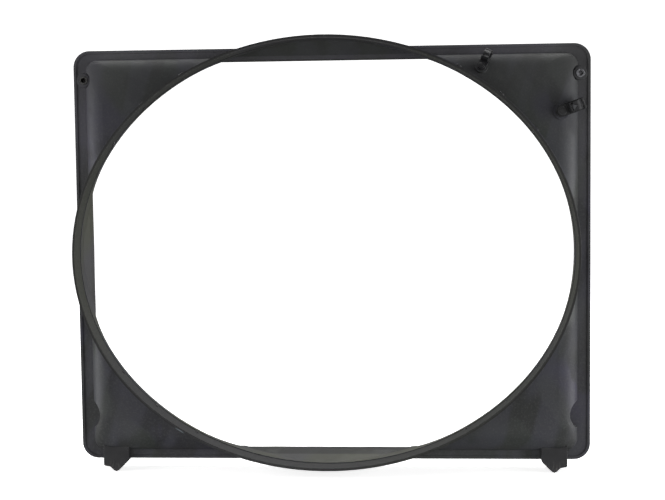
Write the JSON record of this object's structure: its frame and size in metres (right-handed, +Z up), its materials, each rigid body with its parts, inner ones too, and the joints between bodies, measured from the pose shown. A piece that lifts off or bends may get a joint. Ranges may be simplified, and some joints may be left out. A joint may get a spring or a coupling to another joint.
{
  "type": "radiator fan shroud",
  "caption": "Rectangular radiator fan shroud: shallow moulded pan with a mounting flange, an oval fan ring, locating pegs, foam seals and latching harness clips.",
  "frame": {"origin": "fan axis where it meets the radiator face, in the plane of the foam seals' rear faces", "axes": "+Z up the car, +Y towards the radiator, -Y towards the engine, +X to the right as seen from the engine"},
  "size_m": [0.535, 0.063, 0.4534],
  "materials": {
    "frame_plastic": "charcoal moulded plastic, lightly mottled, satin to matte",
    "ring_plastic": "charcoal moulded plastic with fine scuffs round the inside",
    "peg_plastic": "charcoal moulded plastic",
    "seal_foam": "soft black open-cell foam strip",
    "clip_plastic": "near-black nylon",
    "push_rivet_plastic": "black nylon push rivet",
    "black_rivet": "black coated aluminium rivet",
    "bright_steel": "bright plated steel insert, lightly worn",
    "dull_steel": "dulled and darkened steel"
  },
  "bodies": {
    "shroud": {"shroud_frame": "frame_plastic", "fan_ring": "ring_plastic", "ring_rivets": "black_rivet", "left_locating_peg": "peg_plastic", "right_locating_peg": "peg_plastic", "peg_rivets": "black_rivet", "seal_top": "seal_foam", "seal_bottom": "seal_foam", "seal_left": "seal_foam", "seal_right": "seal_foam", "left_mount_insert": "dull_steel", "right_mount_insert": "bright_steel", "upper_clip_rivet": "push_rivet_plastic", "upper_clip_rivet_pin": "push_rivet_plastic", "side_clip_rivet": "push_rivet_plastic", "side_clip_rivet_pin": "push_rivet_plastic"},
    "upper_clip": {"upper_clip_base": "clip_plastic", "upper_clip_hinge_pin": "dull_steel"},
    "upper_clip_latch": {"upper_clip_latch": "clip_plastic"},
    "side_clip": {"side_clip_base": "clip_plastic", "side_clip_hinge_pin": "dull_steel"},
    "side_clip_latch": {"side_clip_latch": "clip_plastic"}
  },
  "joints": [
    {"name": "upper_clip_swivel", "type": "hinge", "parent": "shroud", "child": "upper_clip", "pos_m": [0.161, -0.03794, 0.18934], "axis": [0, -0.9397, 0.342], "range_deg": [-40, 40]},
    {"name": "upper_clip_opening", "type": "hinge", "parent": "upper_clip", "child": "upper_clip_latch", "pos_m": [0.16849, -0.03679, 0.20457], "axis": [-0.891, 0.1553, 0.4266], "range_deg": [0, 100]},
    {"name": "side_clip_swivel", "type": "hinge", "parent": "shroud", "child": "side_clip", "pos_m": [0.2415, -0.038, 0.1431], "axis": [0, -1, 0], "range_deg": [-40, 40]},
    {"name": "side_clip_opening", "type": "hinge", "parent": "side_clip", "child": "side_clip_latch", "pos_m": [0.26217, -0.0435, 0.15062], "axis": [-0.342, 0, 0.9397], "range_deg": [0, 100]}
  ]
}
